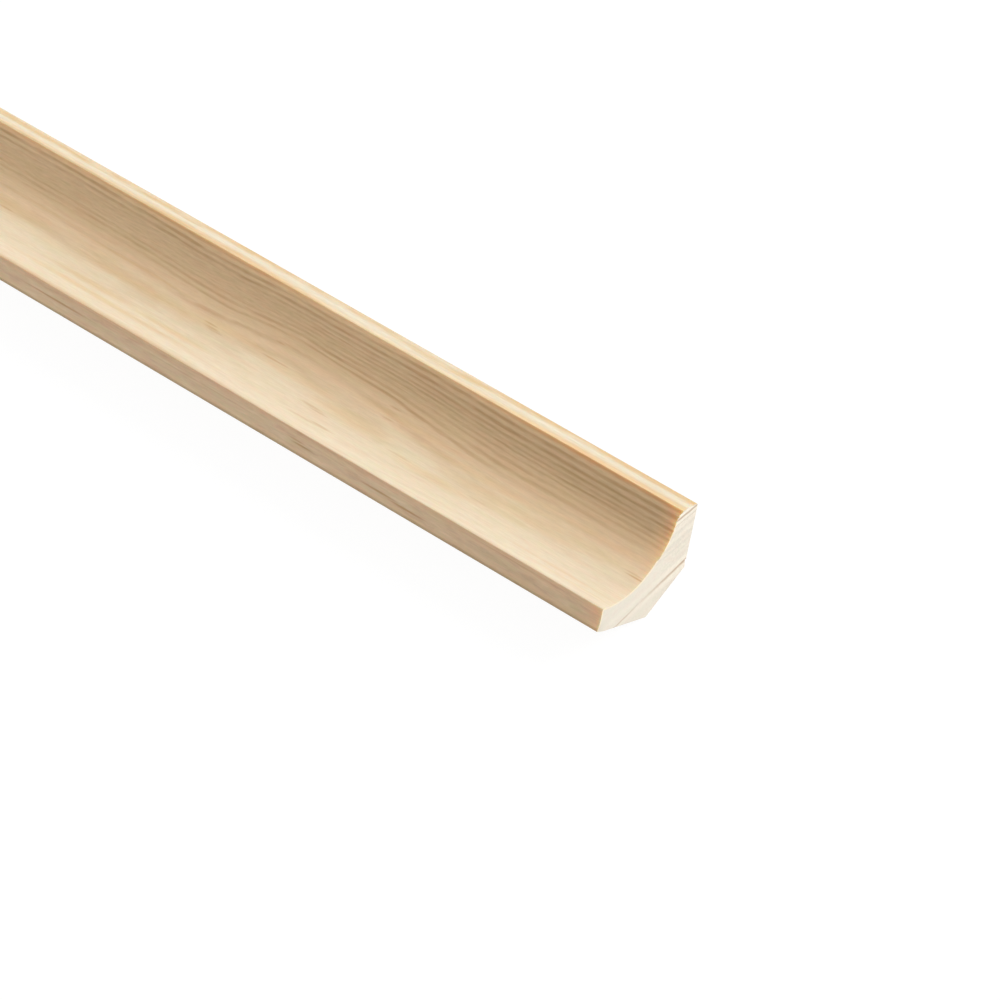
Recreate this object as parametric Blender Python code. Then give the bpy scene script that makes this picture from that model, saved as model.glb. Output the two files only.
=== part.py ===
"""A length of softwood scotia moulding, lying on its back chamfer with the cove facing up.

Metres, +Z up. The length runs along X, and the section is the same on both sides of the XZ plane.
The section is drawn as it is fitted, in the corner between a wall and a floor, and is then turned
about the length until the chamfer lies flat.
"""

import math

import bmesh
import bpy
from mathutils import Matrix, Vector

# Driving sizes
LENGTH = 2.400
LEG = 0.021
FILLET_WIDTH = 0.0048
CHAMFER_LEG = 0.0082
ARRIS_RADIUS = 0.0002

# Fineness of the round faces, as steps in each half of the cove and in each arris
COVE_STEPS = 24
ARRIS_STEPS = 4

# Planed pine, as a linear colour
PINE_COLOUR = (0.77, 0.60, 0.40, 1.0)
PINE_ROUGHNESS = 0.6

# The cove is a quarter circle about the corner of the square that the section is cut from
COVE_RADIUS = LEG - FILLET_WIDTH
LYING_TURN = math.radians(45.0)
SHARP_ANGLE = math.radians(30.0)


def clear_scene():
    """Remove what the scene holds."""
    for obj in list(bpy.data.objects):
        bpy.data.objects.remove(obj, do_unlink=True)


def arc(centre, radius, start_deg, end_deg, steps):
    """Points of an arc in the plane of the section, as (from the wall, from the floor)."""
    turns = [math.radians(start_deg + (end_deg - start_deg) * i / steps) for i in range(steps + 1)]
    return [(centre[0] + radius * math.cos(t), centre[1] + radius * math.sin(t)) for t in turns]


def floor_half():
    """The half of the outline next to the floor, from the deepest point of the cove to the chamfer.

    The lip's arris touches the cove, where it takes over from the cove's last point, and the
    fillet's face, which is the outer side of the square.
    """
    lip_drop = math.sqrt((COVE_RADIUS + ARRIS_RADIUS) ** 2 - ARRIS_RADIUS**2)
    lip_centre = (LEG - ARRIS_RADIUS, LEG - lip_drop)
    lip_turn = math.degrees(math.asin(ARRIS_RADIUS / (COVE_RADIUS + ARRIS_RADIUS)))
    cove = arc((LEG, LEG), COVE_RADIUS, 225.0, 270.0 - lip_turn, COVE_STEPS)
    lip = arc(lip_centre, ARRIS_RADIUS, 90.0 - lip_turn, 0.0, ARRIS_STEPS)
    toe_centre = (LEG - ARRIS_RADIUS, ARRIS_RADIUS)
    toe = arc(toe_centre, ARRIS_RADIUS, 0.0, -90.0, ARRIS_STEPS)
    heel_centre = (CHAMFER_LEG + ARRIS_RADIUS * math.tan(LYING_TURN / 2), ARRIS_RADIUS)
    heel = arc(heel_centre, ARRIS_RADIUS, -90.0, -135.0, ARRIS_STEPS)
    return cove[:-1] + lip + toe + heel


def section_outline():
    """The closed outline: the half next to the floor, and the same half mirrored for the wall.

    The deepest point of the cove is on the mirror's line, so the two halves share it.
    """
    half = floor_half()
    return half + [(from_floor, from_wall) for from_wall, from_floor in reversed(half[1:])]


def moulding_mesh():
    """The moulding's mesh: the section run along the length, square cut at both ends."""
    bm = bmesh.new()
    start = -LENGTH / 2
    outline = [bm.verts.new(Vector((start, -wall, floor))) for wall, floor in section_outline()]
    section = bm.faces.new(outline)
    run = bmesh.ops.extrude_face_region(bm, geom=[section], use_keep_orig=True)
    far_end = [item for item in run["geom"] if isinstance(item, bmesh.types.BMVert)]
    bmesh.ops.translate(bm, verts=far_end, vec=(LENGTH, 0.0, 0.0))
    bmesh.ops.recalc_face_normals(bm, faces=bm.faces[:])
    bmesh.ops.transform(bm, matrix=Matrix.Rotation(-LYING_TURN, 4, "X"), verts=bm.verts[:])
    chamfer_height = CHAMFER_LEG * math.cos(LYING_TURN)
    bmesh.ops.translate(bm, verts=bm.verts[:], vec=(0.0, 0.0, -chamfer_height))
    mesh = bpy.data.meshes.new("scotia_moulding")
    bm.to_mesh(mesh)
    bm.free()
    mesh.shade_smooth()
    mesh.set_sharp_from_angle(angle=SHARP_ANGLE)
    return mesh


def pine_material():
    """Planed, unfinished pine."""
    material = bpy.data.materials.new("pine")
    material.use_nodes = True
    shader = material.node_tree.nodes["Principled BSDF"]
    shader.inputs["Base Color"].default_value = PINE_COLOUR
    shader.inputs["Roughness"].default_value = PINE_ROUGHNESS
    shader.inputs["Metallic"].default_value = 0.0
    return material


def build():
    """Build the one piece of stock."""
    clear_scene()
    mesh = moulding_mesh()
    mesh.materials.append(pine_material())
    moulding = bpy.data.objects.new("scotia_moulding", mesh)
    bpy.context.scene.collection.objects.link(moulding)


build()
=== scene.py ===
"""A length of softwood scotia moulding, dressed as planed pine with sawn ends, on a pale studio floor."""

import logging
import math
from dataclasses import dataclass
from enum import Enum
from functools import reduce
from itertools import accumulate
from typing import Callable, Sequence

import bmesh
import bpy
from mathutils import Matrix, Vector, geometry, noise


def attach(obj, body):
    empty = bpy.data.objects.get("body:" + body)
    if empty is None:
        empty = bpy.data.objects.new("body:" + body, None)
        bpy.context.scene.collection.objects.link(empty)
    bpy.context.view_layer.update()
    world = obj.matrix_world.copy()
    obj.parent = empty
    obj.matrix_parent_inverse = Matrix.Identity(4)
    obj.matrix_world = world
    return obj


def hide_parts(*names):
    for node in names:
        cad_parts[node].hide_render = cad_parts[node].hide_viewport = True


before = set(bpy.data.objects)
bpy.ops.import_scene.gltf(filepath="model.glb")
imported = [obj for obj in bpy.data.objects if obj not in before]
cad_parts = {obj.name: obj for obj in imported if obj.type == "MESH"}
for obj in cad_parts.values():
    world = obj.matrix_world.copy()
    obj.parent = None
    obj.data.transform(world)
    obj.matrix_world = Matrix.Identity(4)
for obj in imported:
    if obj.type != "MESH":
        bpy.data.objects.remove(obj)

log = logging.getLogger("scotia")

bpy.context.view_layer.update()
MM = 0.001
TOUCHING = 1e-5

Place = tuple[float, float, float]
Colour = tuple[float, float, float]
Point = tuple[float, float]
Curve = tuple[Point, ...]
Tones = tuple[tuple[float, Colour], ...]


class End(Enum):
    """The two sawn ends, by the direction in which each faces along the length."""

    NEAR = 1.0
    FAR = -1.0

    @property
    def slot(self) -> int:
        """The material slot of its faces."""
        return 1 if self is End.NEAR else 2


class Bench:
    """Short ways to pick up an object and to pick out its faces and edges."""

    @staticmethod
    def pick_up(obj: bpy.types.Object) -> None:
        """Make obj the only selected and the active object.

        Args:
            obj: The object to work on.
        """
        bpy.ops.object.select_all(action="DESELECT")
        obj.select_set(True)
        bpy.context.view_layer.objects.active = obj

    @staticmethod
    def choose(obj: bpy.types.Object, kind: str, test: Callable[..., bool]) -> None:
        """In edit mode, select the elements that pass a test, and nothing else.

        Args:
            obj: The object in edit mode.
            kind: "EDGE" or "FACE".
            test: Says whether an element is wanted.
        """
        bpy.ops.mesh.select_mode(type=kind)
        bpy.ops.mesh.select_all(action="DESELECT")
        work = bmesh.from_edit_mesh(obj.data)
        for element in work.edges if kind == "EDGE" else work.faces:
            if test(element):
                element.select_set(True)
        work.select_flush_mode()
        bmesh.update_edit_mesh(obj.data)


class NodeSheet:
    """The node sheet of a material or of the world."""

    def __init__(self, owner: bpy.types.Material | bpy.types.World) -> None:
        """Take up the owner's sheet and clear it.

        Args:
            owner: The material or the world.
        """
        owner.use_nodes = True
        self.owner = owner
        self.tree = owner.node_tree
        self.tree.nodes.clear()

    def lay(
        self, kind: str, inputs: dict[str | int, "Feed"], out: str | int = 0, **settings: object
    ) -> "Wire":
        """Lay a node on the sheet.

        Args:
            kind: The node's type, without its "ShaderNode" start.
            inputs: What its inputs take, by their names or numbers.
            out: The name or number of the output that is wanted.
            settings: The node's own settings, by name.

        Returns:
            That output.
        """
        node = self.tree.nodes.new("ShaderNode" + kind)
        for name, setting in settings.items():
            setattr(node, name, setting)
        for name, value in inputs.items():
            socket = node.inputs[name]
            if isinstance(value, Wire):
                self.tree.links.new(value.socket, socket)
            elif isinstance(value, (int, float)):
                socket.default_value = value
            else:
                socket.default_value = (*value, 1.0)[:len(socket.default_value)]
        return Wire(self, node.outputs[out])

    def places(self, tilt_deg: float) -> "Wire":
        """Where a point of the object is, in millimetres along, aside and up.

        Args:
            tilt_deg: How far these directions are turned about the length.

        Returns:
            Its place.
        """
        where = self.lay("TexCoord", {}, "Object")
        turn = (math.radians(tilt_deg), 0.0, 0.0)
        return self.lay("Mapping", {"Vector": where, "Rotation": turn, "Scale": (1 / MM,) * 3})

    def finish(self, surface: "Wire") -> bpy.types.Material | bpy.types.World:
        """Send a shader to the sheet's output.

        Args:
            surface: The shader.

        Returns:
            The sheet's owner.
        """
        output = self.tree.nodes.new("ShaderNodeOutput" + type(self.owner).__name__)
        self.tree.links.new(surface.socket, output.inputs["Surface"])
        return self.owner


@dataclass(frozen=True)
class Wire:
    """A node's output, with short ways to go on from it: each lays a node and gives its output."""

    sheet: NodeSheet
    socket: bpy.types.NodeSocket

    def math(self, operation: str, other: "Feed" = 0.0) -> "Wire":
        """Reckon with this number, and with another where the operation takes two."""
        return self.sheet.lay("Math", {0: self, 1: other}, operation=operation)

    def __add__(self, other: "Feed") -> "Wire":
        """Add a number."""
        return self.math("ADD", other)

    def __sub__(self, other: "Feed") -> "Wire":
        """Take a number away."""
        return self.math("SUBTRACT", other)

    def __rsub__(self, other: float) -> "Wire":
        """Take this from a number."""
        return self.sheet.lay("Math", {0: other, 1: self}, operation="SUBTRACT")

    def __mul__(self, other: "Feed") -> "Wire":
        """Multiply by a number."""
        return self.math("MULTIPLY", other)

    @staticmethod
    def greatest(wires: Sequence["Wire"]) -> "Wire":
        """The greatest of several numbers."""
        return reduce(lambda most, wire: most.math("MAXIMUM", wire), wires)

    def along(self, axis: str) -> "Wire":
        """How far a place lies along the axis X, Y or Z."""
        return self.sheet.lay("SeparateXYZ", {0: self}, axis)

    def length(self) -> "Wire":
        """How far a place lies from the origin."""
        return self.sheet.lay("VectorMath", {0: self}, "Value", operation="LENGTH")

    def stretch(self, scale: Sequence[float], shift: Sequence[float] = (0.0, 0.0, 0.0)) -> "Wire":
        """A place scaled and then moved along its axes."""
        return self.sheet.lay("Mapping", {"Vector": self, "Location": shift, "Scale": scale})

    def noise(
        self,
        scale: Sequence[float],
        shift: Sequence[float] = (0.0, 0.0, 0.0),
        detail: float = 3.0,
        roughness: float = 0.5,
    ) -> "Wire":
        """Even noise about 0.5, read at this place.

        Args:
            scale: Its waves per millimetre along each axis.
            shift: How far it is moved along each axis, in waves.
            detail: How many finer waves lie on it.
            roughness: How strong the finer waves are.

        Returns:
            The noise's height.
        """
        where = self.stretch(scale, shift)
        inputs = {"Vector": where, "Scale": 1.0, "Detail": detail, "Roughness": roughness}
        return self.sheet.lay("TexNoise", inputs)

    def spread(self, source: Sequence[float], target: Point = (0.0, 1.0), kind: str = "LINEAR") -> "Wire":
        """This number taken from one range to another, and no further than its ends."""
        ends = dict(zip(("From Min", "From Max", "To Min", "To Max"), (*source, *target)))
        return self.sheet.lay("MapRange", {"Value": self} | ends, interpolation_type=kind)

    def ease(self, start: float, stop: float) -> "Wire":
        """A smooth step from 0 where this number is start to 1 at stop, which may be below start."""
        target = (0.0, 1.0) if start < stop else (1.0, 0.0)
        return self.spread(sorted((start, stop)), target, "SMOOTHSTEP")

    def between(self, first: "Feed", second: "Feed") -> "Wire":
        """A number that lies as far from the first to the second as this one says."""
        return self.sheet.lay("Mix", {0: self, 2: first, 3: second}, data_type="FLOAT")

    def blend(self, below: "Feed", above: "Feed") -> "Wire":
        """A colour that lies as far from the lower to the upper one as this number says."""
        return self.sheet.lay("Mix", {0: self, 6: below, 7: above}, 2, data_type="RGBA")

    def tint(self, cast: "Feed", share: "Feed" = 1.0) -> "Wire":
        """This colour multiplied by a cast, as far as share says."""
        inputs = {0: share, 6: self, 7: cast}
        return self.sheet.lay("Mix", inputs, 2, data_type="RGBA", blend_type="MULTIPLY")

    def curve(self, points: Sequence[Point]) -> "Wire":
        """A smooth curve through given points.

        Args:
            points: Its points, as (value, height), from the lowest value up.

        Returns:
            The curve's height at this number.
        """
        start, stop = points[0][0], points[-1][0]
        heights = [height for _, height in points]
        low, high = min(heights), max(heights)
        drawn = self.sheet.lay("FloatCurve", {"Value": self.spread((start, stop))})
        mapping = drawn.socket.node.mapping
        knots = mapping.curves[0].points
        while len(knots) < len(points):
            knots.new(0.5, 0.5)
        for knot, (value, height) in zip(knots, points):
            knot.location = ((value - start) / (stop - start), (height - low) / (high - low))
            knot.handle_type = "AUTO_CLAMPED"
        mapping.update()
        return drawn.spread((0.0, 1.0), (low, high))

    def ramp(self, stops: Tones) -> "Wire":
        """Colours along a line.

        Args:
            stops: The colours between which it runs, each with its place, from the lowest place up.

        Returns:
            The colour at this number.
        """
        start, stop = stops[0][0], stops[-1][0]
        drawn = self.sheet.lay("ValToRGB", {0: self.spread((start, stop))})
        elements = drawn.socket.node.color_ramp.elements
        while len(elements) < len(stops):
            elements.new(0.5)
        for element, (place, colour) in zip(elements, stops):
            element.position = (place - start) / (stop - start)
            element.color = (*colour, 1.0)
        return drawn


Feed = Wire | float | Sequence[float]


@dataclass(frozen=True)
class Section:
    """The square that the section is cut from, in the corner of a wall and a floor, in metres.

    A point is given as (from the wall, from the floor). The wall is on the +Y side of the blank.
    lying_deg is the turn about the length that lays the chamfer flat.
    """

    leg: float = 0.021
    fillet: float = 0.0048
    chamfer: float = 0.0082
    arris: float = 0.0002
    lying_deg: float = -45.0

    @property
    def cove_radius(self) -> float:
        """The quarter circle's radius, about the square's outer corner."""
        return self.leg - self.fillet

    @property
    def lying_drop(self) -> float:
        """The chamfer's distance from the square's back corner."""
        return self.chamfer * math.cos(math.radians(self.lying_deg))

    @property
    def cove_height(self) -> float:
        """The height of the cove's axis over the floor, once the moulding lies on its chamfer."""
        return self.leg * math.sqrt(2.0) - self.lying_drop


@dataclass(frozen=True)
class Reading:
    """What a finish reads at a point of the timber, in millimetres.

    place runs along, aside and across the rings, depth has the rings' wander taken out of it, and
    number counts the rings. unseen grows from 0 to 1 where the photograph ends.
    """

    place: Wire
    from_end: Wire
    aside: Wire
    depth: Wire
    number: Wire
    unseen: Wire


@dataclass(frozen=True)
class Rings:
    """The growth rings' lie in the timber, in millimetres, shared by the long faces and the sawn ends.

    The rings are nearly flat sheets along the length. Depth is the distance across them, up from
    the resting face, and aside the distance along them, towards the wall. Late-wood lines lie at
    the depths in lines. Past bend_start aside, the rings curve up by bend.

    drift says how far they rise by the distance from the near end, spread how much further for
    each spread_over below pivot, and outer_drift how much further on the upper fillet. They wobble
    a little everywhere, and wander by far_wander where the photograph ends.
    """

    tilt_deg: float = 14.0
    bend_start: float = 8.0
    bend: float = 0.046
    pivot: float = 13.3
    spread_over: float = 4.8
    fillet_starts: Point = (8.2, 10.5)
    unseen: Point = (160.0, 300.0)
    far_wander: float = 6.0
    wobble: Point = (0.36, 0.14)
    lines: tuple[float, ...] = (
        -2.6, -1.3, 0.1, 1.4, 2.7, 3.9, 5, 6, 6.9, 7.45, 7.92, 8.52, 9.12, 9.68, 10.25, 10.76,
        11.36, 12.18, 13.22, 14.45, 15.6, 16.8,
    )
    drift: Curve = (
        (0, 0), (30, 0.02), (46, 0.25), (56, 0.5), (66, 0.65), (76, 0.57), (86, 0.53), (95, 0.59),
        (101, 0.46), (107, 0.22), (113, 0.07), (119, 0.07), (128, 0.22), (146, 0.42), (166, 0.55), (190, 0.5),
    )
    spread: Curve = (
        (0, 0), (56, 0), (66, 0.28), (76, 0.54), (86, 0.72), (91, 0.8), (98, 0.64), (106, 0.62),
        (136, 0.66), (156, 0.6), (190, 0.6),
    )
    outer_drift: Curve = (
        (0, 0.02), (23, 0.03), (44, 0), (53, -0.09), (63, -0.18), (76, -0.33), (88, -0.38), (95, -0.45),
        (102, -0.31), (111, 0), (123, 0.04), (135, -0.09), (152, -0.2), (170, -0.27), (190, -0.27),
    )

    def read(self, sheet: NodeSheet, length: float) -> Reading:
        """Read the timber at each point, with the rings' wander along the length taken out.

        Args:
            sheet: The material's sheet.
            length: The moulding's length in metres.

        Returns:
            The reading.
        """
        place = sheet.places(self.tilt_deg)
        from_end = length / 2 / MM - place.along("X")
        aside, depth = place.along("Y"), place.along("Z")
        unseen = from_end.ease(*self.unseen)
        on_fillet = aside.ease(*self.fillet_starts)
        past = (aside - self.bend_start).math("MAXIMUM", 0.0)
        below = (self.pivot - depth).math("DIVIDE", self.spread_over)
        moved = past * past * self.bend + depth - from_end.curve(self.drift)
        moved = moved - on_fillet * from_end.curve(self.outer_drift) - from_end.curve(self.spread) * below
        slow = place.noise((1 / 240.0, 1 / 70.0, 1 / 70.0), detail=1.5) - 0.5
        small = place.noise((1 / 14.0, 1 / 3.0, 1 / 3.0), roughness=0.6) - 0.5
        moved = moved + slow * self.far_wander * unseen + small * on_fillet.between(*self.wobble)
        points = [(line, float(number)) for number, line in enumerate(self.lines)]
        return Reading(place, from_end, aside, moved, moved.curve(points), unseen)


@dataclass(frozen=True)
class Fleck:
    """A resin fleck: a short dash along the grain, in millimetres in the timber's own directions."""

    from_end: float
    aside: float
    depth: float
    half_length: float
    half_width: float
    strength: float

    @classmethod
    def rows(cls, *rows: tuple[float, ...]) -> "tuple[Fleck, ...]":
        """Flecks from rows of their sizes."""
        return tuple(cls(*row) for row in rows)


@dataclass(frozen=True)
class Cast:
    """A cast of colour on a strip of the timber: it rises and falls by the place aside.

    Its strength is a curve by the distance from the near end. All in millimetres.
    """

    colour: Colour
    rise: Point
    fall: Point
    along: Curve


@dataclass(frozen=True)
class PlanedPine:
    """Planed pine along the grain: late-wood lines on cream to straw early wood, with fine fibres.

    tones gives the early wood's colour by the place aside, and late_wood the share of it that a
    late-wood line keeps. Besides the wood's colour, the tones hold painted light: a dark line of
    painted shade along the downward-facing arris at the toe, a painted highlight on the upper lip,
    and an orange upper cove that is partly the wood and partly painted warm shade. strengths says
    how plain the lines are at each of line_depths, at six distances from the near end. casts are the
    lips' resin tan, strips that are paler or browner near one place along the length, and a painted
    glow on the upper cove beside the near cut. patches are where the flat-lying rings show
    straw-coloured, and unseen_patches how far aside they reach where the photograph ends.

    Past floor_side only left_at_floor of the lines is left. The names in _edge say where a mark
    begins and where it is whole. Light scatters further in the wood at the near cut. The dashes
    are fainter below dashes_grow, and the blotches lie on the front strip alone.
    """

    rings: Rings
    length: float
    upper_lip: Point = (8.0, 8.6)
    lower_lip: Point = (-14.0, -14.3)
    # Partly painted light: the dark stops from -16.65 to -16.3 are painted shade along the downward-facing
    # toe arris, the bright stop at 8.05 is a painted highlight on the upper lip, and the orange stops from 2
    # to 6.5 are partly the wood and partly painted warm shade.
    tones: Tones = (
        (-16.65, (0.5, 0.36, 0.22)), (-16.4, (0.7, 0.51, 0.32)), (-16.3, (0.83, 0.61, 0.385)),
        (-16.2, (0.95, 0.71, 0.465)), (-15.95, (0.95, 0.715, 0.48)), (-15.6, (0.91, 0.69, 0.47)),
        (-15, (0.92, 0.7, 0.475)), (-14.5, (0.87, 0.635, 0.415)), (-14.2, (0.85, 0.615, 0.395)),
        (-14.02, (0.81, 0.68, 0.51)), (-13.7, (0.87, 0.75, 0.58)), (-13.3, (0.88, 0.77, 0.6)),
        (-9, (0.88, 0.745, 0.56)), (-5, (0.89, 0.75, 0.545)), (-1, (0.89, 0.67, 0.445)),
        (2, (0.84, 0.615, 0.378)), (5, (0.82, 0.595, 0.36)), (6.5, (0.87, 0.64, 0.4)),
        (8.05, (0.98, 0.74, 0.46)), (8.4, (0.95, 0.78, 0.53)), (9.2, (0.84, 0.73, 0.555)),
        (10.5, (0.85, 0.77, 0.615)), (11.4, (0.85, 0.74, 0.57)), (12.5, (0.78, 0.65, 0.46)),
    )
    late_wood: Colour = (0.78, 0.69, 0.59)
    late_wood_outside: Colour = (0.9, 0.75, 0.54)
    line_edge: Point = (0.42, 0.04)
    uneven_lines: Point = (0.55, 1.3)
    floor_side: Point = (-5.5, -9.5)
    left_at_floor: float = 0.25
    line_depths: tuple[float, ...] = (
        -3, 6, 6.92, 7.45, 7.95, 8.52, 9.1, 9.7, 10.28, 10.8, 11.4, 12.2, 13.2, 14.4, 17,
    )
    strengths: tuple[tuple[float, tuple[float, ...]], ...] = (
        (14, (0.4, 0.3, 0.2, 0.12, 0.15, 0.34, 0.4, 0.36, 0.78, 0.42, 0.95, 0.68, 1.45, 0.4, 0.4)),
        (32, (0.4, 0.3, 0.2, 0.15, 0.25, 0.65, 0.65, 0.44, 0.72, 0.42, 0.62, 0.9, 0.95, 0.4, 0.4)),
        (60, (0.4, 0.3, 0.4, 0.06, 0.9, 0.36, 0.28, 0.45, 0.6, 0.58, 0.72, 1, 1, 0.3, 0.4)),
        (85, (0.4, 0.3, 0.35, 0.04, 0.6, 0.8, 0.42, 0.3, 0.32, 0.5, 0.6, 0.8, 0.7, 0.2, 0.4)),
        (115, (0.4, 0.3, 0.58, 0.04, 0.62, 0.55, 0.28, 0.08, 0.05, 0.05, 0.18, 0.85, 0.95, 0.4, 0.4)),
        (138, (0.4, 0.3, 0.17, 0.04, 0.34, 0.5, 0.38, 0.1, 0.05, 0.05, 0.22, 0.6, 0.95, 0.4, 0.4)),
    )
    casts: tuple[Cast, ...] = (
        Cast((0.91, 0.9, 0.88), (2, 5), (8.4, 7.8), ((15, 1), (80, 0))),
        Cast((0.88, 0.79, 0.69), (-12.5, -14), (-14.3, -14.1), ((75, 0), (115, 1))),
        Cast((0.92, 0.91, 0.88), (-14.6, -15.4), (-17.5, -17), ((20, 1), (65, 0))),
        # Painted light: lightens the upper cove within a few millimetres of the near cut, for lamp light
        # shining in through the end grain.
        Cast((1.14, 1.13, 1.07), (0, 4), (8, 6.5), ((0.6, 1), (4.5, 0))),
        Cast((0.97, 0.81, 0.62), (7.4, 8), (10.2, 8.4), (
            (0, 0.5), (24, 0.55), (40, 0.3), (60, 0.05), (84, 0.15), (100, 0.6), (126, 0.65), (150, 0.4),
            (190, 0.5),
        )),
        Cast((0.97, 0.81, 0.62), (7.55, 7.95), (8.12, 8.02), ((30, 0.6), (85, 0))),
        Cast((0.8, 0.85, 0.88), (8.02, 8.2), (8.95, 8.35), (
            (40, 0), (60, 0.35), (110, 0.5), (128, 0.75), (150, 1),
        )),
    )
    straw: Colour = (0.985, 0.935, 0.85)
    patches: tuple[Fleck, ...] = Fleck.rows(
        (166, -2.7, 7.28, 16, 1.9, 1), (130, -3.9, 7.1, 34, 1.1, 0.8), (106, -2.4, 7.34, 14, 1.2, 1),
        (112, -3.3, 7.16, 8, 0.8, 0.7), (145, -1.9, 7.45, 10, 0.7, 0.5), (152, -5, 7.01, 16, 1, 0.5),
        (88, -3.6, 7.14, 18, 1.5, 0.8), (72, -5.5, 6.99, 14, 2.4, 1), (40, -2.5, 7.32, 28, 1.2, 0.9),
        (62, -0.9, 7.75, 20, 1.1, 0.8), (32, -4.9, 7.01, 28, 1.7, 0.9), (14, -3.8, 7.11, 22, 2.2, 0.6),
        (14, -1.2, 7.65, 22, 0.9, 0.7), (33, -6.3, 7, 14, 1.2, 0.7), (50, -7.5, 7.08, 16, 1.4, 1),
        (98, -1.7, 7.5, 10, 0.7, 0.2), (160, 0.1, 8.08, 20, 0.5, 0.6), (135, -0.5, 7.88, 24, 0.5, 0.8),
    )
    unseen_patches: tuple[Point, Point] = ((-11.0, -7.0), (1.5, -0.5))
    patch_edge: Point = (0.43, 0.57)
    fleck_edge: Point = (1.0, 0.2)
    fleck: Colour = (0.74, 0.58, 0.41)
    flecks: tuple[Fleck, ...] = Fleck.rows(
        (83, 5.5, 11.57, 3.5, 0.18, 0.25), (66, 0.5, 8.27, 2.2, 0.24, 0.45),
        (111.8, -3, 7.17, 2.6, 0.3, 0.5), (111, -3.6, 7.13, 2.8, 0.34, 0.45),
        (110, -3.95, 7.09, 3.2, 0.24, 0.35), (95, -2.9, 7.25, 5.5, 0.28, 0.55),
        (80.8, -7.2, 7.05, 4.8, 0.4, 0.5), (78.5, -7.6, 7.08, 3.6, 0.3, 0.4),
        (75.5, -10.2, 7.62, 4.6, 0.4, 0.55), (80, -10.5, 7.68, 7, 0.34, 0.4),
        (66, -1.8, 7.48, 2.4, 0.26, 0.4), (58.5, -6.95, 7.04, 4.5, 0.34, 0.3),
        (38, -6.9, 7.04, 4.5, 0.34, 0.25), (168, -3.5, 7.15, 3.5, 0.3, 0.45),
        (141.5, -15.3, 7.34, 13.5, 0.3, 0.85), (77, -15.15, 7.6, 3.5, 0.28, 0.7),
        (75.5, -15.45, 7.1, 4, 0.3, 0.8), (55.5, -15.45, 7.1, 7, 0.32, 0.9),
        (48.5, -15.65, 6.75, 7, 0.32, 0.9), (100, -15.1, 7.7, 22, 0.22, 0.3),
        (20, -14.6, 8.6, 16, 0.25, 0.35), (118, -14.75, 8.3, 26, 0.3, 0.15),
        (1.5, -4.3, 7.06, 3.6, 0.28, 0.7), (2.5, -3.8, 7.12, 3.4, 0.22, 0.4),
        (96, 0.4, 8.19, 1.8, 0.22, 0.45),
    )
    streak: Colour = (0.94, 0.87, 0.75)
    streaks: tuple[Fleck, ...] = Fleck.rows(
        (117, -8.5, 7.23, 15, 0.8, 1), (139, -8.2, 7.2, 17, 0.9, 1), (136, -10.3, 7.63, 34, 0.85, 1),
        (128, -3.2, 7.2, 32, 1.5, 0.5), (14, -10.9, 7.85, 20, 0.4, 0.6), (10, -12.15, 8.3, 18, 0.4, 0.6),
    )
    fibre_streaks: Tones = ((0.3, (0.9335, 0.9118, 0.8643)), (0.7, (0.9775, 0.97, 0.955)))
    fibre_dashes: Tones = ((0.3, (0.9075, 0.895, 0.87)), (0.7, (1.0925, 1.105, 1.13)))
    dashes_grow: Point = (1.5, 4.0)
    hues: Tones = ((0.35, (1.0, 0.965, 0.955)), (0.5, (1.0, 1.0, 1.0)), (0.65, (0.975, 0.99, 0.955)))
    blotches: Tones = (
        (0.34, (0.94, 0.9, 0.88)), (0.45, (1.03, 1.01, 1.01)), (0.55, (1.01, 1.03, 1.0)),
        (0.66, (1.09, 1.1, 1.14)),
    )
    roughness: Point = (0.47, 0.63)
    near_cut: Point = (6.0, 0.3)
    scatter: float = 0.3
    scatter_at_cut: Curve = (
        (-16.6, 0.6), (-14.3, 0.6), (-13.8, 0.3), (-8, 0.3), (-3, 0.5), (1, 0.6), (4, 0.8),
        (8, 0.8), (8.4, 0.35), (12.4, 0.3),
    )
    scatter_reach: Point = (1.5 * MM, 4.0 * MM)
    scatter_share: Colour = (1.0, 0.5, 0.26)

    def material(self) -> bpy.types.Material:
        """Make the finish.

        Returns:
            The material.
        """
        sheet = NodeSheet(bpy.data.materials.new("planed_pine"))
        timber = self.rings.read(sheet, self.length)
        colour = self.early_wood(timber).tint(self.late_lines(timber))
        colour = self.fibres(timber, colour)
        colour = colour.tint(self.streak, self.all_flecks(timber, self.streaks))
        colour = colour.tint(self.fleck, self.all_flecks(timber, self.flecks))
        fine = timber.place.noise((1 / 7.0, 4.5, 4.5), roughness=0.6)
        near_cut = timber.from_end.ease(*self.near_cut)
        at_cut = timber.aside.curve(self.scatter_at_cut)
        return sheet.finish(sheet.lay("BsdfPrincipled", {
            "Base Color": colour,
            "Roughness": fine.between(*self.roughness),
            "Normal": sheet.lay("Bump", {"Strength": 0.25, "Distance": 0.02 * MM, "Height": fine}),
            "Subsurface Weight": near_cut.between(self.scatter, at_cut),
            "Subsurface Radius": self.scatter_share,
            "Subsurface Scale": near_cut.between(*self.scatter_reach),
        }))

    def early_wood(self, timber: Reading) -> Wire:
        """The early wood's tone across the board, with straw patches where the rings lie flat, and its casts;
        besides the wood's colour they carry painted shade and painted highlights.

        Args:
            timber: The timber's reading.

        Returns:
            Its colour.
        """
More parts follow.
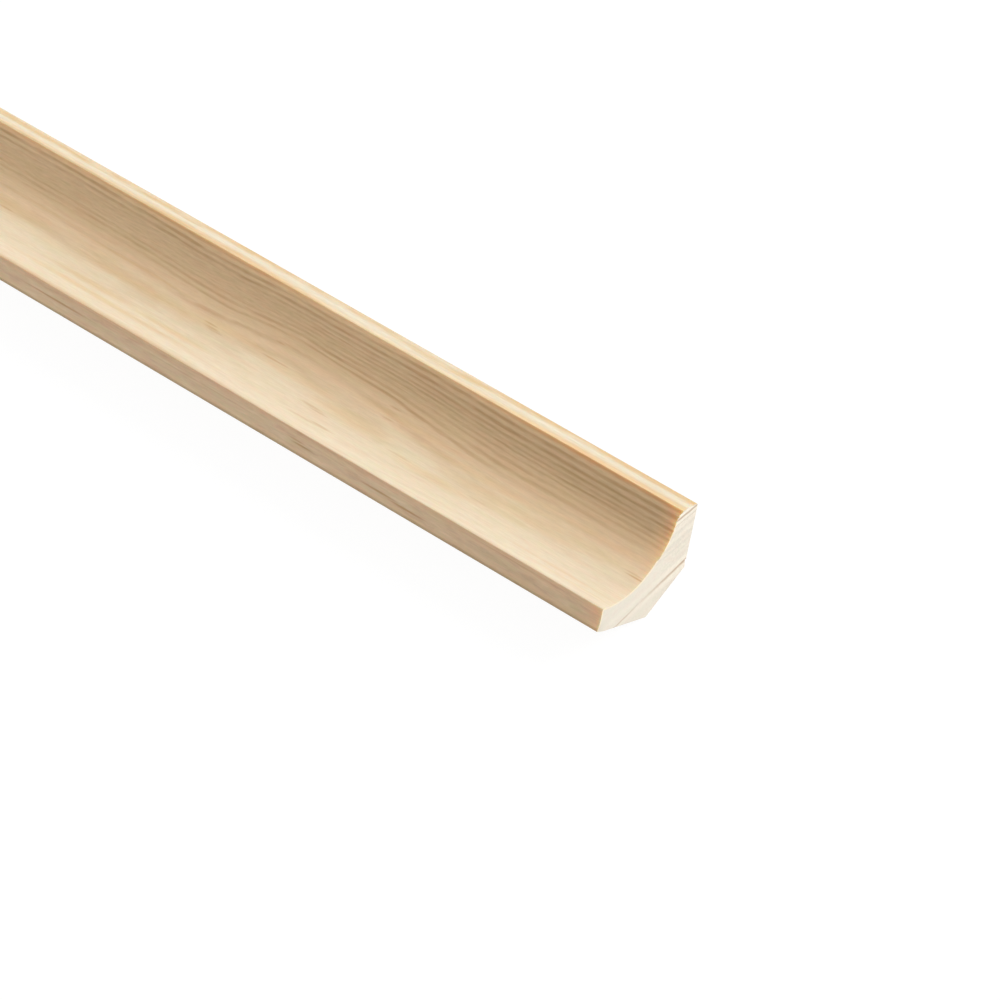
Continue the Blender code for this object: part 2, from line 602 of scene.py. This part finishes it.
        # The tones include painted shade at the toe, a painted highlight on the upper lip and partly painted
        # warm shade on the upper cove.
        tone = timber.aside.ramp(self.tones)
        patch = timber.place.noise((1 / 40.0, 1 / 3.2, 1 / 0.9), (0.35, 0.0, 0.0), detail=2.2)
        rise, fall = self.unseen_patches
        flat = timber.aside.ease(*rise) * timber.aside.ease(*fall)
        unseen = patch.ease(*self.patch_edge) * flat * timber.unseen
        straw = unseen.math("MAXIMUM", self.all_flecks(timber, self.patches))
        tone = tone.tint(self.straw, straw)
        # One of the casts is a painted glow on the upper cove beside the near cut.
        for cast in self.casts:
            strip = timber.aside.ease(*cast.rise) * timber.aside.ease(*cast.fall)
            tone = tone.tint(cast.colour, strip * timber.from_end.curve(cast.along))
        return tone

    def late_lines(self, timber: Reading) -> Wire:
        """The late-wood lines, as the share of the early wood's colour that is left.

        Args:
            timber: The timber's reading.

        Returns:
            That share, as a colour.
        """
        # In rings, with 100 more to keep the count above 0.
        off_line = ((timber.number + 100.5).math("FRACT") - 0.5).math("ABSOLUTE")
        rows = [(distance, list(zip(self.line_depths, row))) for distance, row in self.strengths]
        (before, plain), *further = [(distance, timber.depth.curve(row)) for distance, row in rows]
        for distance, here in further:
            plain = timber.from_end.ease(before, distance).between(plain, here)
            before = distance
        left = timber.aside.ease(*self.floor_side).between(1.0, self.left_at_floor)
        uneven = timber.place.noise((1 / 9.0, 0.8, 0.8)).ease(0.32, 0.66).between(*self.uneven_lines)
        shown = off_line.ease(*self.line_edge) * plain * left * uneven
        cast = timber.aside.ease(*self.upper_lip).blend(self.late_wood, self.late_wood_outside)
        return shown.blend((1.0, 1.0, 1.0), cast)

    def fibres(self, timber: Reading, colour: Wire) -> Wire:
        """Lay the fibres over the colour: long streaks, fine dashes, a change of hue and blotches.

        Args:
            timber: The timber's reading.
            colour: The colour so far.

        Returns:
            The colour with its fibres.
        """
        place, aside = timber.place, timber.aside
        colour = colour.tint(place.noise((1 / 30.0, 1.1, 1.1)).ramp(self.fibre_streaks))
        dashes = place.noise((1 / 3.0, 4.5, 4.5), roughness=0.7).ramp(self.fibre_dashes)
        colour = colour.tint(dashes, aside.ease(*self.dashes_grow).between(0.57, 1.0))
        hues = place.noise((1 / 9.0, 0.8, 0.8), (3.0, 5.0, 7.0), detail=2.0).ramp(self.hues)
        colour = colour.tint(hues, aside.ease(*self.upper_lip).between(1.0, 0.4))
        blotches = place.noise((1 / 6.0, 0.9, 0.9), (1.0, 9.0, 4.0), detail=3.5, roughness=0.6)
        return colour.tint(blotches.ramp(self.blotches), aside.ease(*self.lower_lip))

    def all_flecks(self, timber: Reading, flecks: Sequence[Fleck]) -> Wire:
        """A number of flecks together.

        Args:
            timber: The timber's reading.
            flecks: The flecks.

        Returns:
            How far each point is fleck, from 0 to 1.
        """
        shown = []
        for fleck in flecks:
            size = (1 / fleck.half_length, 1 / fleck.half_width, 1 / fleck.half_width)
            centre = (self.length / 2 / MM - fleck.from_end, fleck.aside, fleck.depth)
            shift = [-place * scale for place, scale in zip(centre, size)]
            shown.append(timber.place.stretch(size, shift).length().ease(*self.fleck_edge) * fleck.strength)
        return Wire.greatest(shown)


@dataclass(frozen=True)
class Tear:
    """A place where the saw tore an end back between the growth rings, in millimetres.

    It is depth deep at height, or stands out by as much below 0, and slopes out over the distances
    above and below. It is whole as far as one place aside, and has run out at another. Its bottom
    is drawn brown by its darkening share, partly the wood's own staining and partly painted shadow
    under the step, as wide as its darkening width to either side. Its height grows by slant for
    each millimetre aside.
    """

    height: float
    depth: float
    above: float
    below: float
    whole: float = -18.0
    gone: float = -19.0
    stain: float = 0.0
    stain_width: float = 0.28
    slant: float = 0.0

    def depth_at(self, height: float, aside: float) -> float:
        """How far a point of the end is torn back.

        Args:
            height: The point's height across the tears.
            aside: Its place along them.

        Returns:
            The depth of the tear there.
        """
        over = height - self.height - self.slant * aside
        out = max(1.0 - abs(over) / (self.above if over > 0.0 else self.below), 0.0)
        along = min(max((aside - self.gone) / (self.whole - self.gone), 0.0), 1.0)
        return self.depth * out * along


@dataclass(frozen=True)
class SawnEndGrain:
    """A sawn end: pale cut fibres with faint ring bands, brown tears and a painted highlight on its rim at
    the cove.

    bands says how light the end is by the height across the tears. The bands and the mottle are
    faint on the front side of fades and full past it. Above a height set for each end, the end is
    lightened as a painted highlight on the strip that stands out towards the lamp, and within rim of
    the cove and the front face it is lightened as a painted highlight on the cut edge. All in millimetres.
    """

    name: str
    rings: Rings
    section: Section
    tears: tuple[Tear, ...]
    tear_tilt_deg: float
    white_above: float
    pale: Colour = (0.81, 0.745, 0.635)
    bands: Curve = (
        (-1.2, 0.94), (0.2, 0.91), (1.1, 0.94), (2, 1.03), (2.9, 1), (3.75, 1.09), (4.5, 1.01),
        (5.3, 0.98), (6, 1.01), (6.5, 0.99), (7, 1.02), (7.5, 0.96), (8.15, 1.03), (8.85, 0.955),
        (9.65, 1.075), (10.65, 0.98), (11.35, 1.07), (11.95, 0.98), (12.55, 1.11), (13.2, 1), (15, 1),
    )
    mottle: float = 0.34
    fades: Point = (-4.0, 4.0)
    faint: float = 0.35
    hues: Tones = ((0.35, (1.0, 0.975, 0.965)), (0.5, (1.0, 1.0, 1.0)), (0.65, (0.985, 1.0, 0.975)))
    # Brown of the tear bottoms: partly the wood's own staining, partly painted shadow under each step.
    brown: Colour = (0.44, 0.29, 0.18)
    # Painted highlight: how much lighter the strip above the topmost tear is drawn, where it stands out
    # towards the lamp.
    white: Colour = (1.15, 1.17, 1.17)
    # Painted highlight: how much lighter the end is drawn along the edges of the cove and the front face.
    crisp: Colour = (1.17, 1.09, 0.95)
    rim: float = 0.5
    roughness: float = 0.75

    def material(self) -> bpy.types.Material:
        """Make the finish.

        Returns:
            The material.
        """
        sheet = NodeSheet(bpy.data.materials.new(self.name))
        timber = sheet.places(self.rings.tilt_deg)
        end = sheet.places(self.tear_tilt_deg)
        mottle = (timber.noise((0.1, 1.6, 2.4), roughness=0.6) - 0.5) * self.mottle
        shade = mottle + end.along("Z").curve(self.bands)
        shade = end.along("Y").ease(*self.fades).between(shade * self.faint + (1.0 - self.faint), shade)
        hues = timber.noise((0.1, 0.45, 0.7), (2.0, 4.0, 1.0), detail=2.0).ramp(self.hues)
        colour = self.add_rim(shade.tint(self.pale).tint(hues))
        grit = timber.noise((1.0, 5.0, 5.0))
        return sheet.finish(sheet.lay("BsdfPrincipled", {
            "Base Color": self.add_stains(end, colour),
            "Roughness": self.roughness,
            "Normal": sheet.lay("Bump", {"Strength": 0.4, "Distance": 0.05 * MM, "Height": grit}),
        }))

    def add_rim(self, colour: Wire) -> Wire:
        """Lighten the end along the edges of the cove and the front face: a painted highlight where the cut
        edge catches the lamp.

        Args:
            colour: The colour so far.

        Returns:
            The colour with its painted rim highlight.
        """
        size = self.section
        from_axis = colour.sheet.places(0.0).stretch((0.0, 1.0, 1.0), (0.0, 0.0, -size.cove_height / MM))
        off_cove = from_axis.length() - size.cove_radius / MM
        outward = colour.sheet.places(size.lying_deg).along("Z")
        off_front = (size.leg - size.chamfer / 2) / MM - outward
        # Painted highlight along the cut edges of the cove and the front face.
        return colour.tint(self.crisp, off_cove.math("MINIMUM", off_front).ease(self.rim, 0.05))

    def add_stains(self, end: Wire, colour: Wire) -> Wire:
        """Draw the brown bottoms of the tears, partly staining and partly painted shadow under each step, and
        whiten the strip above the topmost one as a painted highlight.

        Args:
            end: The place, in the tears' own directions.
            colour: The colour so far.

        Returns:
            The colour with its dark lines and its painted highlight.
        """
        aside, height = end.along("Y"), end.along("Z")
        # Painted highlight on the strip above the topmost tear.
        colour = colour.tint(self.white, height.ease(self.white_above, self.white_above + 0.2))
        ragged = (end.noise((0.1, 0.7, 0.9)) - 0.5) * 0.25 + height
        # The brown lines: partly staining, partly painted shadow under each step.
        dark_lines = []
        for tear in (tear for tear in self.tears if tear.stain > 0.0):
            off = (ragged - (aside * tear.slant + tear.height)).math("ABSOLUTE")
            line = off.ease(tear.stain_width, 0.03) * aside.ease(tear.gone, tear.whole)
            dark_lines.append(line * tear.stain)
        return Wire.greatest(dark_lines).blend(colour, self.brown)


@dataclass(frozen=True)
class FlatMap:
    """The moulding's surface laid out flat: a strip for each half length, and above them its ends.

    length and end_half_width are in metres, and the rest in shares of the map's side. ends_left
    goes by the ends' material slots.
    """

    length: float
    end_half_width: float = 0.0148
    ends_left: Point = (0.02, 0.52)
    ends_bottom: float = 0.79
    ends_width: float = 0.46
    margin: float = 0.005
    strip_width: float = 0.99
    strip_height: float = 0.38
    upper_strip: float = 0.395

    def lay_out(self, mesh: bpy.types.Mesh) -> None:
        """Lay the surface out.

        Args:
            mesh: The moulding's mesh, lying.
        """
        layer = mesh.uv_layers.new(name="OFBake")
        mesh.uv_layers.active = layer
        outline = self.outline_at_middle(mesh)
        girth, half = outline[-1][0], self.length / 2
        scale = self.ends_width / (2 * self.end_half_width)
        for face in mesh.polygons:
            middle = self.girth_of(outline, face.center)
            start, bottom = (0.0, self.margin) if face.center.x > 0 else (-half, self.upper_strip)
            for loop, index in zip(face.loop_indices, face.vertices):
                spot = mesh.vertices[index].co
                if face.material_index:
                    left = self.ends_left[face.material_index - 1] + (spot.y + self.end_half_width) * scale
                    up = self.ends_bottom + spot.z * scale
                else:
                    around = self.girth_of(outline, spot)
                    around -= girth * round((around - middle) / girth)
                    left = self.margin + (spot.x - start) / half * self.strip_width
                    up = bottom + around / girth * self.strip_height
                layer.uv[loop].vector = (left, up)

    @staticmethod
    def outline_at_middle(mesh: bpy.types.Mesh) -> list[tuple[float, Vector]]:
        """Walk the section's outline where the length is divided at its middle.

        Args:
            mesh: The moulding's mesh, lying.

        Returns:
            The outline's points in order, each with the distance walked to it, closed.
        """
        spots = [vert.co for vert in mesh.vertices]
        joined: dict[int, list[int]] = {}
        for first, second in (edge.vertices for edge in mesh.edges):
            if abs(spots[first].x) < TOUCHING and abs(spots[second].x) < TOUCHING:
                joined.setdefault(first, []).append(second)
                joined.setdefault(second, []).append(first)
        walk = [min(joined, key=lambda index: (spots[index].z, spots[index].y))]
        while len(walk) <= len(joined):
            walk.append(next(index for index in joined[walk[-1]] if index not in walk[-2:-1]))
        steps = [(spots[after] - spots[before]).length for before, after in zip(walk, walk[1:])]
        return list(zip(accumulate(steps, initial=0.0), (spots[index] for index in walk)))

    @staticmethod
    def girth_of(outline: Sequence[tuple[float, Vector]], spot: Vector) -> float:
        """How far round the outline a point of the surface lies.

        Args:
            outline: The outline from outline_at_middle().
            spot: The point.

        Returns:
            The distance walked to the outline's nearest point.
        """
        flat = Vector((0.0, spot.y, spot.z))
        best = (math.inf, 0.0)
        for (walked, first), (_, second) in zip(outline, outline[1:]):
            share = min(max(geometry.intersect_point_line(flat, first, second)[1], 0.0), 1.0)
            off = (flat - first.lerp(second, share)).length
            best = min(best, (off, walked + share * (second - first).length))
        return best[1]


@dataclass
class Moulding:
    """The length of moulding: a square blank, coved, chamfered, eased at its arrises and sawn at its ends.

    The tears are the places where the saw tore each end back, and their heights run across the
    grain, at tear_tilt_deg to the upright. The ends are also uneven by unevenness, in waves of two
    lengths, aside and up, all in millimetres, and the third number in waves sets the ends apart.
    grid divides the ends across and along the tears, by a step and its first and last row.
    """

    section: Section = Section()
    length: float = 2.4
    cove_facets: int = 192
    cutter_overrun: float = 1.01
    arris_steps: int = 4
    end_zone: float = 0.0025
    tear_tilt_deg: float = 17.6
    near_tears: tuple[Tear, ...] = (
        Tear(15.5, -0.72, 1, 1.2),
        Tear(14.15, -0.25, 40, 0.04, slant=-0.05),
        Tear(13.5, 0.1, 0.04, 0.25, stain=0.75, stain_width=0.34, slant=-0.05),
        Tear(12.5, 0.08, 0.05, 0.3, stain=0.35, stain_width=0.18, slant=-0.05),
        Tear(8.22, 0.22, 0.06, 3.6, -3, -7),
        Tear(8.22, -0.22, 0.06, 3.6, 6, 0.5),
        Tear(4, 0.45, 2.2, 1.6, -17.2, -15.6),
        Tear(2.82, 0.3, 0.1, 0.95, 9, -11, 1, 0.6, 0.05),
        Tear(2.85, 0.1, 0.06, 0.5, -11, -4, 0.5, 0.4, 0.06),
    )
    far_tears: tuple[Tear, ...] = (
        Tear(12.9, 0.2, 0.06, 0.4, stain=0.5),
        Tear(9.6, 0.25, 0.06, 1.1, 4, -4, 0.3),
        Tear(5.1, 0.3, 0.08, 0.7, -4, 8, 0.7),
        Tear(1.6, 0.2, 0.06, 1.3),
    )
    # Heights above which each end gets its painted highlight; the far end's lies above the section.
    white_above: Point = (13.65, 30.0)
    unevenness: float = 0.025
    waves: Place = (4.0, 1.1, 7.0)
    grid: tuple[tuple[float, int, int], ...] = ((0.5, -3, 31), (1.0, -17, 15))
    cut_threshold: float = 1e-6
    sharp_deg: float = 30.0

    def __post_init__(self) -> None:
        """Settle the tears and the finishes."""
        rings = Rings()
        self.tears = {End.NEAR: self.near_tears, End.FAR: self.far_tears}
        self.planed = PlanedPine(rings, self.length)
        self.sawn = {}
        for end, white_above in zip(End, self.white_above):
            lie = (self.tears[end], self.tear_tilt_deg, white_above)
            self.sawn[end] = SawnEndGrain(f"sawn_end_{end.name.lower()}", rings, self.section, *lie)

    def build(self) -> bpy.types.Object:
        """Model, lay down and dress the moulding.

        Returns:
            The finished piece.
        """
        piece = self.cut_blank()
        self.dress(piece)
        self.run_cove(piece)
        self.ease_arrises(piece)
        self.mark_stations(piece)
        self.lay_down(piece)
        for end in End:
            self.tear_end(piece, end)
        FlatMap(self.length).lay_out(piece.data)
        self.finish(piece)
        return piece

    def cut_blank(self) -> bpy.types.Object:
        """Saw the square blank and take off its back corner.

        Returns:
            The blank.
        """
        size = self.section
        bpy.ops.object.select_all(action="DESELECT")
        bpy.ops.mesh.primitive_cube_add(size=1.0, location=(0.0, -size.leg / 2, size.leg / 2))
        piece = bpy.context.object
        piece.name = "planed_moulding"
        piece.scale = (self.length, size.leg, size.leg)
        bpy.ops.object.transform_apply(location=True, rotation=True, scale=True)
        bpy.ops.object.mode_set(mode="EDIT")
        bpy.ops.mesh.select_all(action="SELECT")
        corner = {"plane_co": (0.0, 0.0, size.chamfer), "plane_no": (0.0, -1.0, 1.0)}
        bpy.ops.mesh.bisect(**corner, use_fill=True, clear_inner=True)
        bpy.ops.object.mode_set(mode="OBJECT")
        return piece

    def dress(self, piece: bpy.types.Object) -> None:
        """Give the blank its finishes, and its two ends the sawn ones.

        Args:
            piece: The square blank.
        """
        mesh = piece.data
        mesh.materials.append(self.planed.material())
        for end in End:
            mesh.materials.append(self.sawn[end].material())
        for face in mesh.polygons:
            face.material_index = 0
            for end in End:
                if face.normal.x * end.value > 0.9:
                    face.material_index = end.slot

    def run_cove(self, piece: bpy.types.Object) -> None:
        """Run the round cutter along the outer corner.

        Args:
            piece: The blank.
        """
        size = self.section
        bpy.ops.object.select_all(action="DESELECT")
        bpy.ops.mesh.primitive_cylinder_add(
            vertices=self.cove_facets,
            radius=size.cove_radius,
            depth=self.length * self.cutter_overrun,
            location=(0.0, -size.leg, size.leg),
            rotation=(0.0, math.radians(90.0), 0.0),
        )
        cutter = bpy.context.object
        Bench.pick_up(piece)
        cut = piece.modifiers.new("cove", "BOOLEAN")
        cut.operation = "DIFFERENCE"
        cut.solver = "EXACT"
        cut.object = cutter
        bpy.ops.object.modifier_apply(modifier=cut.name)
        bpy.data.objects.remove(cutter, do_unlink=True)

    def ease_arrises(self, piece: bpy.types.Object) -> None:
        """Round the six long edges, all by the same radius.

        Args:
            piece: The coved blank.
        """
        size = self.section
        square = [(size.fillet, size.leg), (0.0, size.leg), (size.leg, size.fillet), (size.leg, 0.0)]
        blunt = [(0.0, size.chamfer), (size.chamfer, 0.0)]
        bpy.ops.object.mode_set(mode="EDIT")
        for corners, width in ((square, size.arris), (blunt, size.arris * math.tan(math.radians(22.5)))):
            Bench.choose(piece, "EDGE", lambda edge: self.runs_at(edge, corners))
            bpy.ops.mesh.bevel(offset=width, segments=self.arris_steps, profile=0.5)
        bpy.ops.object.mode_set(mode="OBJECT")

    def runs_at(self, edge: bmesh.types.BMEdge, corners: Sequence[Point]) -> bool:
        """Whether an edge runs the whole length at one of these corners of the section.

        Args:
            edge: The edge.
            corners: The corners, as (from the wall, from the floor).

        Returns:
            True if it does.
        """
        first, second = (vert.co for vert in edge.verts)
        at_corner = any(math.hypot(first.y + wall, first.z - floor) < TOUCHING for wall, floor in corners)
        return at_corner and abs(first.x - second.x) > self.length / 2

    def mark_stations(self, piece: bpy.types.Object) -> None:
        """Divide the length at its middle and a little before each end.

        Args:
            piece: The eased moulding.
        """
        inner = self.length / 2 - self.end_zone
        Bench.pick_up(piece)
        bpy.ops.object.mode_set(mode="EDIT")
        for station in (-inner, 0.0, inner):
            bpy.ops.mesh.select_all(action="SELECT")
            bpy.ops.mesh.bisect(plane_co=(station, 0.0, 0.0), plane_no=(1.0, 0.0, 0.0))
        bpy.ops.object.mode_set(mode="OBJECT")

    def lay_down(self, piece: bpy.types.Object) -> None:
        """Turn the moulding onto its back chamfer, cove up, and fix its place in its mesh.

        Args:
            piece: The shaped moulding.
        """
        Bench.pick_up(piece)
        piece.rotation_euler = (math.radians(self.section.lying_deg), 0.0, 0.0)
        piece.location = (0.0, 0.0, -self.section.lying_drop)
        bpy.ops.object.transform_apply(location=True, rotation=True, scale=True)

    def tear_end(self, piece: bpy.types.Object, end: End) -> None:
        """Tear an end back where the saw did: its face is cut over a grid, and its points pushed in.

        Args:
            piece: The moulding, lying.
            end: Which end.
        """
        tilt = math.radians(self.tear_tilt_deg)
        across = Vector((0.0, math.sin(tilt), math.cos(tilt)))
        sideways = Vector((0.0, math.cos(tilt), -math.sin(tilt)))
        cuts = []
        for direction, (step, first, last) in zip((across, sideways), self.grid):
            cuts += [(direction, step * row) for row in range(first, last + 1)]
        for tear in self.tears[end]:
            slanted = across - sideways * tear.slant
            cuts += [(slanted, tear.height + step) for step in (-tear.below, 0.0, tear.above)]
        bpy.ops.object.mode_set(mode="EDIT")
        for direction, place in cuts:
            Bench.choose(piece, "FACE", lambda face: face.material_index == end.slot)
            spot = direction * (place * MM / direction.length_squared)
            bpy.ops.mesh.bisect(plane_co=spot, plane_no=direction, threshold=self.cut_threshold)
        bpy.ops.object.mode_set(mode="OBJECT")
        depths = {
            vert.index: self.depth_at(end, vert.co.dot(across) / MM, vert.co.dot(sideways) / MM)
            for vert in piece.data.vertices
            if abs(vert.co.x * end.value - self.length / 2) < TOUCHING
        }
        least, deepest = min(depths.values()), max(depths.values())
        torn = piece.vertex_groups.new(name="torn")
        for index, depth in depths.items():
            torn.add([index], (depth - least) / (deepest - least), "REPLACE")
        Bench.pick_up(piece)
        bpy.ops.object.mode_set(mode="EDIT")
        Bench.choose(piece, "FACE", lambda face: face.material_index == end.slot)
        bpy.ops.transform.translate(value=(-end.value * least * MM, 0.0, 0.0))
        bpy.ops.object.mode_set(mode="OBJECT")
        push = piece.modifiers.new("tear", "DISPLACE")
        push.direction, push.mid_level, push.vertex_group = "X", 0.0, torn.name
        push.strength = -end.value * (deepest - least) * MM
        bpy.ops.object.modifier_apply(modifier=push.name)
        piece.vertex_groups.clear()

    def depth_at(self, end: End, height: float, aside: float) -> float:
        """How far a point of an end lies back from the square cut, in millimetres.

        Args:
            end: Which end.
            height: The point's height across the tears.
            aside: Its place along them.

        Returns:
            The depth.
        """
        wide, high, apart = self.waves
        wave = noise.noise(Vector((aside / wide, height / high, end.value * apart)))
        torn = sum(tear.depth_at(height, aside) for tear in self.tears[end])
        return torn + self.unevenness * (0.5 + 0.5 * wave)

    def finish(self, piece: bpy.types.Object) -> None:
        """Smooth the round faces and put the piece in the place of the solid.

        Args:
            piece: The finished moulding.
        """
        Bench.pick_up(piece)
        bpy.ops.object.shade_smooth_by_angle(angle=math.radians(self.sharp_deg))
        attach(piece, "root")
        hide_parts("scotia_moulding")


@dataclass
class StudioFloor:
    """A wide pale floor that stays white in view and keeps a faint, soft shadow."""

    width: float = 60.0
    gap: float = 0.0001
    white: Colour = (0.8, 0.8, 0.8)
    view_white: Colour = (0.12, 0.12, 0.12)
    view_glow: float = 0.93

    def build(self) -> None:
        """Lay the floor."""
        bpy.ops.object.select_all(action="DESELECT")
        bpy.ops.mesh.primitive_plane_add(size=self.width, location=(0.0, 0.0, -self.gap))
        floor = bpy.context.object
        floor.name = "studio_floor"
        bpy.ops.object.transform_apply(location=True, rotation=True, scale=True)
        floor.data.materials.append(self.material())

    def material(self) -> bpy.types.Material:
        """Make the floor's white.

        Returns:
            The material.
        """
        sheet = NodeSheet(bpy.data.materials.new("floor_white"))
        plain = sheet.lay("BsdfDiffuse", {"Color": self.white})
        faint = sheet.lay("BsdfDiffuse", {"Color": self.view_white})
        glow = sheet.lay("Emission", {"Color": (1.0, 1.0, 1.0), "Strength": self.view_glow})
        seen = sheet.lay("AddShader", {0: faint, 1: glow})
        rays = sheet.lay("LightPath", {}, "Is Camera Ray")
        return sheet.finish(sheet.lay("MixShader", {0: rays, 1: plain, 2: seen}))


@dataclass
class StudioLight:
    """One broad soft lamp from beyond the near end, and an even white room round it."""

    towards: Place = (0.60, 0.67, 0.436)
    strength: float = 2.35
    breadth_deg: float = 32.0
    room: float = 0.535

    def build(self) -> None:
        """Hang the lamp and light the room."""
        data = bpy.data.lights.new("studio_lamp", "SUN")
        data.energy = self.strength
        data.angle = math.radians(self.breadth_deg)
        lamp = bpy.data.objects.new("studio_lamp", data)
        lamp.rotation_euler = Vector(self.towards).to_track_quat("Z", "Y").to_euler()
        bpy.context.scene.collection.objects.link(lamp)
        sheet = NodeSheet(bpy.data.worlds.new("studio_room"))
        level = sheet.lay("LightPath", {}, "Is Camera Ray") * (1.0 - self.room) + self.room
        back = sheet.lay("Background", {"Color": (1.0, 1.0, 1.0), "Strength": level})
        bpy.context.scene.world = sheet.finish(back)


@dataclass
class StudioCamera:
    """The camera, close above the near end, looking down along the moulding."""

    place: Place = (1.83382, -0.23931, 0.97437)
    forward: Place = (-0.55790, 0.19747, -0.80607)
    right: Place = (0.71752, 0.60283, -0.34894)
    lens: float = 238.89
    film_width: float = 36.0
    sight: Point = (0.01, 100.0)

    def build(self) -> None:
        """Set up the camera."""
        data = bpy.data.cameras.new("studio_camera")
        data.lens = self.lens
        data.sensor_width = self.film_width
        data.sensor_fit = "HORIZONTAL"
        data.clip_start, data.clip_end = self.sight
        camera = bpy.data.objects.new("studio_camera", data)
        back = -Vector(self.forward).normalized()
        right = Vector(self.right).normalized()
        turn = Matrix((right, back.cross(right), back)).transposed()
        camera.rotation_euler = turn.to_euler()
        camera.location = self.place
        bpy.context.scene.collection.objects.link(camera)
        bpy.context.scene.camera = camera


def main() -> None:
    """Build the moulding and the studio round it."""
    logging.basicConfig(level=logging.INFO, format="%(name)s: %(message)s")
    bpy.context.scene.view_settings.view_transform = "Standard"
    piece = Moulding().build()
    log.info("%s: %d faces", piece.name, len(piece.data.polygons))
    StudioFloor().build()
    StudioLight().build()
    StudioCamera().build()


if __name__ == "__main__":
    main()
